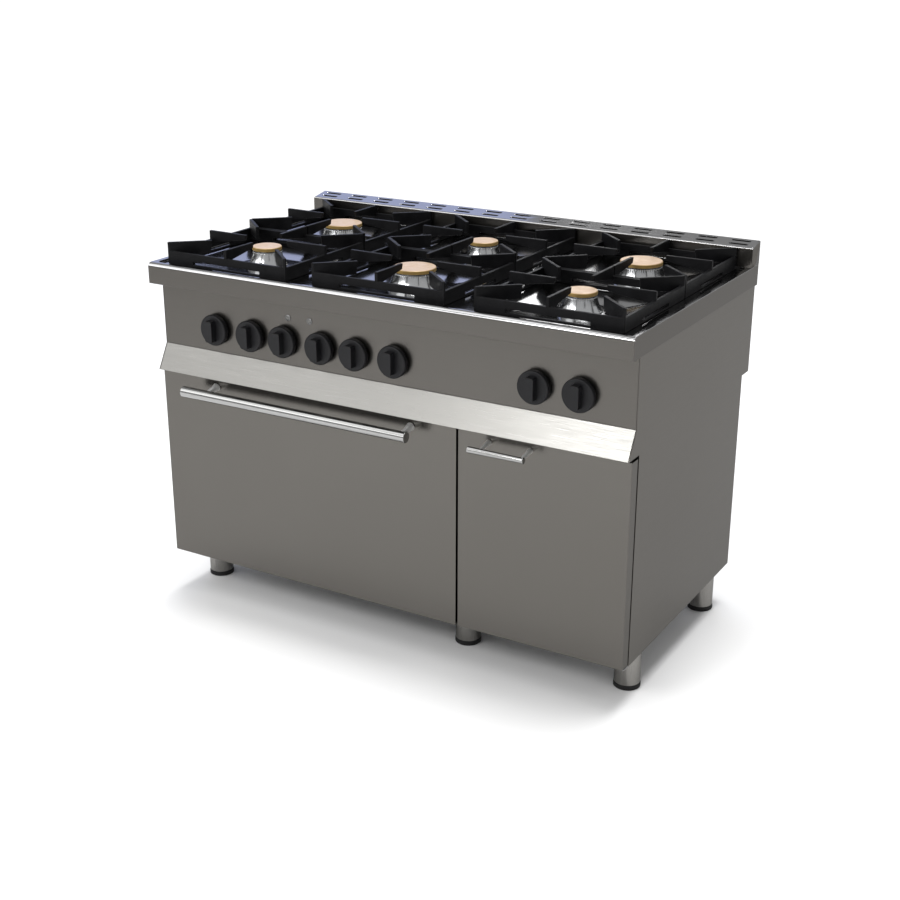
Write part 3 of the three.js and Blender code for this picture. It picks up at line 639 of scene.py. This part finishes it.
def make_handle(node, radius, posts, base, tip):
    """A polished bar on flared posts that spring from the door."""
    low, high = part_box(node)
    bar_y, bar_z = low.y + radius, low.z + radius
    bm = bmesh.new()
    tube(bm, [(low.x, bar_y, bar_z), (high.x, bar_y, bar_z)], radius, 48,
         end_round=1.2 * MM)
    for x in posts:
        root = Vector((x, high.y, high.z - base))
        top = Vector((x, bar_y + radius * 0.55, bar_z + 1 * MM))
        span = (top - root).length
        outline = [(0, 0), (base, 0)]
        for k in range(1, POST_STEPS + 1):
            t = k / POST_STEPS
            outline.append((tip + (base - tip) * (1 - t) ** POST_FLARE, t * span))
        outline.append((0, span))
        # The posts take the second material, whose near-white tint is a painted highlight.
        turned(bm, filleted(outline, [0, 1.0 * MM] + [0] * (POST_STEPS + 2)),
               facing(root, top - root), 40, index=1)
    door = high.y
    for vert in bm.verts:
        vert.co.y = min(vert.co.y, door)
    add_piece(f"{node}_polished", bm, ["handle_steel", "post_steel"], body_of(node),
              [node], sharp=50)


make_handle("oven_door_handle", 12.5 * MM, (-440 * MM, 86 * MM), 10 * MM, 5.6 * MM)
make_handle("cabinet_door_handle", 7 * MM, (277 * MM, 373 * MM), 6 * MM, 3.8 * MM)


def rounded_bar(length, width, corner, steps=5):
    """A rectangle with round corners, centred, as (u, v)."""
    points = []
    for side_u, side_v, start in ((1, -1, -90), (1, 1, 0), (-1, 1, 90), (-1, -1, 180)):
        for k in range(steps + 1):
            angle = math.radians(start + 90 * k / steps)
            points.append((side_u * (length / 2 - corner) + corner * math.cos(angle),
                           side_v * (width / 2 - corner) + corner * math.sin(angle)))
    return points


GRIP_REACH = 32 * MM


def make_knob(node):
    """A moulded knob: a thick disc with eased edges, and a square-ended grip across it."""
    low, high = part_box(node)
    middle = box_centre(node)
    back = low.y + GRIP_REACH
    place = facing((middle.x, back, middle.z), (0, -1, 0))
    bm = bmesh.new()
    disc = [(0, 0), (33, 0), (36, 5), (36, 13.6), (34, 16), (0, 16)]
    disc = filleted([(r * MM, h * MM) for r, h in disc],
                    [0, 1.0 * MM, 2 * MM, 2 * MM, 2 * MM, 0])
    turned(bm, disc, place, 96)
    root, length, width = 12 * MM, 50 * MM, 20 * MM
    grip = facing((middle.x, back - root, middle.z), (0, -1, 0))
    spin = Matrix.Rotation(math.pi / 2, 4, "Z")
    prism(bm, rounded_bar(length, width, 3 * MM), grip @ spin, back - root - low.y, 1.6 * MM, 4,
          taper=0.97)
    turned(bm, filleted([(0, 0), (4 * MM, 0), (4 * MM, high.y - back), (0, high.y - back)],
                        0.6 * MM), facing((middle.x, back - 1 * MM, middle.z), (0, 1, 0)), 24)
    for vert in bm.verts:
        vert.co.y = min(vert.co.y, high.y)
    add_piece(f"{node}_moulded", bm, "knob_plastic", body_of(node), [node])


for name in [n for n in frame["nodes"] if n.endswith("_knob") or n.startswith("burner_knob")]:
    make_knob(name)


def make_lamp(node):
    """A pilot lamp: a domed lens in a plated bezel, with its barrel behind the panel."""
    low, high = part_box(node)
    middle = box_centre(node)
    panel = low.y + 3.4 * MM
    place = facing((middle.x, panel, middle.z), (0, -1, 0))
    bm = bmesh.new()
    bezel = [(4.7, 0), (7, 0), (7, 1.1), (5.9, 1.9), (5.2, 1.9), (4.7, 1.2)]
    turned(bm, [(r * MM, h * MM) for r, h in bezel], place, 48, closed=True, index=1)
    dome = [(0, -0.5), (4.6, -0.5), (4.6, 1.0), (4.2, 2.2), (2.6, 3.1), (0, 3.4)]
    turned(bm, filleted([(r * MM, h * MM) for r, h in dome], 0.6 * MM), place, 48)
    barrel = [(0, -(high.y - panel)), (5 * MM, -(high.y - panel)), (5 * MM, -0.6 * MM),
              (0, -0.6 * MM)]
    turned(bm, filleted(barrel, 0.5 * MM), place, 32, index=1)
    add_piece(f"{node}_lens", bm, ["lamp_lens", "inner_steel"], BODY, [node])


make_lamp("power_lamp")
make_lamp("heating_lamp")

# ---- Burners and pan supports ----

BELL_HEIGHT = 34.7 * MM
BELL_THROAT = 16 * MM
BELL_WAVE = 0.12 * MM
BURNER_PORTS = 60
PORT_DEPTH = 0.8 * MM


def make_burner(place_name):
    """A burner bell with a crown of fine ports, and the brass cap that lies on it."""
    node, cap_node = f"burner_{place_name}", f"burner_cap_{place_name}"
    low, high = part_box(node)
    middle = box_centre(node)
    cap_low, cap_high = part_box(cap_node)
    cap_radius = (cap_high.x - cap_low.x) / 2
    foot = (high.x - low.x) / 2
    base = high.z - BELL_HEIGHT
    place = Matrix.Translation((middle.x, middle.y, 0))
    neck, top = cap_radius - 1 * MM, high.z
    collar = cap_radius + 4 * MM
    throat = BELL_THROAT
    bell = [(throat, low.z), (throat + 4 * MM, low.z), (throat + 4 * MM, base + 6 * MM),
            (foot - 3 * MM, base + 3 * MM), (foot - 3 * MM, base), (foot, base),
            (foot, base + 1.4 * MM), (foot - 0.8 * MM, base + 2 * MM),
            (foot - 2.4 * MM, base + 4 * MM), (collar + 1 * MM, base + 11 * MM),
            (collar - 1 * MM, base + 17 * MM), (neck + 1.6 * MM, base + 25 * MM),
            (neck + 0.8 * MM, top - 4.4 * MM),
            (neck, top - 3.4 * MM), (neck, top), (throat, top)]
    phases = [draw.uniform(0, 2 * math.pi) for _ in range(6)]

    def cast_surface(angle, radius, height):
        """Fine ports at the crown, and the slight waviness of a pressed bell below it."""
        if top - 3.8 * MM < height and radius > neck - 2 * MM:
            return radius - PORT_DEPTH if math.cos(angle * BURNER_PORTS) > 0.3 else radius
        if radius < neck or height < base + 3 * MM:
            return radius
        wave = sum(math.sin((4 + 3 * k) * angle + phase) for k, phase in enumerate(phases))
        return radius - (1 + wave / len(phases)) * BELL_WAVE

    bm = bmesh.new()
    turned(bm, bell, place, BURNER_PORTS * 6, closed=True, shape=cast_surface)
    add_piece(f"{node}_bell", bm, "burner_steel", BODY, [node])

    seat = high.z + 0.3 * MM
    crown = cap_high.z
    outline = [(0, cap_low.z), (throat - 1 * MM, cap_low.z), (throat - 1 * MM, seat),
               (cap_radius, seat), (cap_radius, crown - 1.8 * MM),
               (cap_radius - 1.8 * MM, crown - 0.2 * MM), (cap_radius * 0.5, crown),
               (0, crown)]
    bm = bmesh.new()
    turned(bm, filleted(outline, [0, 0.8 * MM, 0, 0.7 * MM, 0.9 * MM, 1 * MM, 0, 0]), place, 96)
    add_piece(f"{cap_node}_turned", bm, "cap_brass", cap_node, [cap_node])


for name in PLACES:
    make_burner(name)
    softened_copy(f"grate_{name}", 1.3 * MM, segments=2)

# ---- Feet ----


def make_foot(node):
    """A screw foot: a satin tube over a threaded stud, on a black moulded pad."""
    _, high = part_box(node)
    middle = box_centre(node)
    place = Matrix.Translation((middle.x, middle.y, 0))
    bm = bmesh.new()
    shell = [(8.4, 13.5), (27, 13.5), (27, 95.7), (29, 95.7), (29, 12.6), (28.2, 11.2),
             (8.4, 11.2)]
    turned(bm, [(r * MM, h * MM) for r, h in shell], place, 72, closed=True)
    root, crest, lead = 7 * MM, 7.9 * MM, 1.75 * MM
    thread_low, thread_high = 16 * MM, high.z - 1.6 * MM
    stud = [(0, 12 * MM), (root, 12 * MM)]
    for k in range(int((thread_high - thread_low) / lead)):
        stud.append((root, thread_low + k * lead))
        stud.append((crest, thread_low + (k + 0.5) * lead))
    stud += [(6.6 * MM, high.z), (0, high.z)]
    turned(bm, stud, place, 24)
    add_piece(f"{node}_tube", bm, "foot_steel", node, [node], sharp=45)
    bm = bmesh.new()
    pad = [(0, 0), (28.4, 0), (30, 1.6), (30, 8.6), (29.2, 10.6), (27.8, 11.4), (0, 11.4)]
    turned(bm, filleted([(r * MM, h * MM) for r, h in pad],
                        [0, 0.8 * MM, 0.8 * MM, 0.8 * MM, 0.8 * MM, 0.5 * MM, 0]), place, 72)
    add_piece(f"{node}_pad", bm, "foot_rubber", node)


for name in [n for n in frame["nodes"] if n.startswith("foot_")]:
    make_foot(name)

# ---- Inside the oven ----


def make_rack():
    """A rim of round bar with thinner wires laid across it, front to rear."""
    low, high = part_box("oven_rack")
    bar, cross_bar, wire, count = 3.9 * MM, 2.6 * MM, 2.3 * MM, 21
    z = low.z + bar + 0.1 * MM
    bm = bmesh.new()
    tube(bm, rounded_loop(low.x + bar, high.x - bar, low.y + bar, high.y - bar, z, 18 * MM),
         bar, 14, closed=True)
    for i in range(1, count + 1):
        x = low.x + (high.x - low.x) * i / (count + 1)
        tube(bm, [(x, low.y + bar, z + 0.6 * MM), (x, high.y - bar, z + 0.6 * MM)], wire, 10)
    for share in (0.34, 0.67):
        y = low.y + (high.y - low.y) * share
        tube(bm, [(low.x + bar, y, z - 1.2 * MM), (high.x - bar, y, z - 1.2 * MM)], cross_bar,
             10)
    add_piece("oven_rack_wires", bm, "rack_chrome", "oven_rack", ["oven_rack"])


def make_element(node):
    """A sheathed heating tube in four legs joined by half-turns."""
    low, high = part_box(node)
    radius, lead_in = 4 * MM, 60 * MM
    first, last = low.x + radius, high.x - radius
    legs = [first + (last - first) * k / 3 for k in range(4)]
    bend = (legs[1] - legs[0]) / 2
    z = (low.z + high.z) / 2
    near = low.y + radius + bend
    far = high.y - lead_in - bend
    points = [(legs[0], high.y, z)]
    steps = 14
    for i, turn, toward in ((0, near, -1), (1, far, 1), (2, near, -1)):
        for k in range(steps + 1):
            angle = math.pi * k / steps
            points.append((legs[i] + bend * (1 - math.cos(angle)),
                           turn + toward * bend * math.sin(angle), z))
    points.append((legs[3], high.y, z))
    bm = bmesh.new()
    tube(bm, points, radius, 14)
    add_piece(f"{node}_tube", bm, "element_steel", BODY, [node])


make_rack()
make_element("top_heating_element")
make_element("bottom_heating_element")

# ---- Fixings ----


def make_back_screws():
    """Domed screw heads with a driver recess, round the edges of the back panel, in one piece."""
    back_low, back_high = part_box("back_panel")
    edge, service_recess = 14 * MM, 42 * MM
    side_heights = (0.24, 0.39, 0.53)
    spots = []
    for x in (back_low.x + edge, back_low.x / 2, 0.0, back_high.x / 2, back_high.x - edge):
        spots.append((x, back_high.y, back_high.z - edge))
        spots.append((x, back_high.y - service_recess, back_low.z + edge))
    for side in (back_low.x + edge, back_high.x - edge):
        for z in side_heights:
            spots.append((side, back_high.y - service_recess, z))
    bm = bmesh.new()
    dome = [(0, 0.9), (0.9, 0.6), (1.3, 1.9), (3.0, 1.7), (4.3, 0.9), (4.5, 0), (0, 0)]
    outline = [(r * MM, h * MM) for r, h in dome]
    for spot in spots:
        turned(bm, outline, facing(spot, (0, 1, 0)), 24)
    add_piece("back_screws", bm, "handle_steel", BODY)


make_back_screws()

for name, obj in frame["nodes"].items():
    if not obj.hide_render:
        obj.data.materials.clear()
        obj.data.materials.append(MATERIALS[slot_of(name)])

# ---- Camera, light and floor ----

CAMERA_PLACE = (1.61178, -2.74479, 1.57400)
CAMERA_AZIMUTH, CAMERA_ELEVATION, CAMERA_ROLL = 30.386, 20.615, 0.130
CAMERA_LENS = 57.293
FLOOR_TINTS = (0.84, 0.84, 0.84), (0.85, 0.85, 0.85)


def make_camera():
    azimuth, elevation, roll = (
        math.radians(a) for a in (CAMERA_AZIMUTH, CAMERA_ELEVATION, CAMERA_ROLL))
    back = Vector((math.sin(azimuth) * math.cos(elevation),
                   -math.cos(azimuth) * math.cos(elevation), math.sin(elevation)))
    right = (-back).cross(Vector((0, 0, 1))).normalized()
    up = right.cross(-back)
    tilted_right = math.cos(roll) * right + math.sin(roll) * up
    tilted_up = -math.sin(roll) * right + math.cos(roll) * up
    data = bpy.data.cameras.new("photo_camera")
    data.sensor_width = 36.0
    data.lens = CAMERA_LENS
    camera = bpy.data.objects.new("photo_camera", data)
    turn = Matrix((tilted_right, tilted_up, back)).transposed().to_4x4()
    camera.matrix_world = Matrix.Translation(CAMERA_PLACE) @ turn
    scene.collection.objects.link(camera)
    scene.camera = camera


def softbox(name, place, target, width, height, power, tint=(1, 1, 1)):
    data = bpy.data.lights.new(name, "AREA")
    data.shape = "RECTANGLE"
    data.size, data.size_y = width, height
    data.energy = power
    data.color = tint
    light = bpy.data.objects.new(name, data)
    light.location = place
    light.rotation_mode = "QUATERNION"
    light.rotation_quaternion = (Vector(place) - Vector(target)).to_track_quat("Z", "Y")
    light.visible_camera = False
    scene.collection.objects.link(light)


def make_stage():
    """A plain pale floor under an even white world."""
    bm = bmesh.new()
    bmesh.ops.create_grid(bm, x_segments=8, y_segments=8, size=60.0)
    mesh = bpy.data.meshes.new("studio_floor")
    bm.to_mesh(mesh)
    bm.free()
    floor = bpy.data.objects.new("studio_floor", mesh)
    surface = Surface("studio_floor", FLOOR_TINTS[0], roughness=0.9)
    surface.shader.inputs["Specular IOR Level"].default_value = 0.1
    surface.color(surface.mix(surface.ramp(surface.noise(1.5), 0.0, 1.0), *FLOOR_TINTS))
    mesh.materials.append(surface.material)
    scene.collection.objects.link(floor)
    world = bpy.data.worlds.new("studio")
    scene.world = world
    world.use_nodes = True
    background = world.node_tree.nodes["Background"]
    background.inputs["Color"].default_value = (1.0, 1.0, 1.0, 1.0)
    background.inputs["Strength"].default_value = 0.5


def overhead(power, spread, direction):
    """A wide even light from above, which gives the soft shadow under the front edge."""
    data = bpy.data.lights.new("overhead", "SUN")
    data.energy = power
    data.angle = math.radians(spread)
    light = bpy.data.objects.new("overhead", data)
    light.rotation_mode = "QUATERNION"
    light.rotation_quaternion = Vector(direction).to_track_quat("Z", "Y")
    scene.collection.objects.link(light)


make_camera()
make_stage()
overhead(2.65, 26, (0.04, 0.16, 1.0))
softbox("key", (-0.55, -2.9, 2.4), (0.4, -0.3, 0.6), 1.0, 0.8, 34)
softbox("fill", (-2.1, -2.5, 2.0), (-0.3, -0.3, 0.6), 2.4, 0.9, 17)
softbox("canopy", (-1.5, -1.3, 3.0), (0, -0.33, 0.82), 1.6, 2.4, 20)
softbox("back_cool", (-2.4, 2.6, 2.1), (-0.2, 0, 0.8), 1.7, 2.2, 11, (0.42, 0.52, 1.0))
softbox("back_white", (-1.0, 2.9, 1.9), (0.3, 0, 0.8), 0.5, 0.7, 6)
scene.view_settings.view_transform = "Standard"
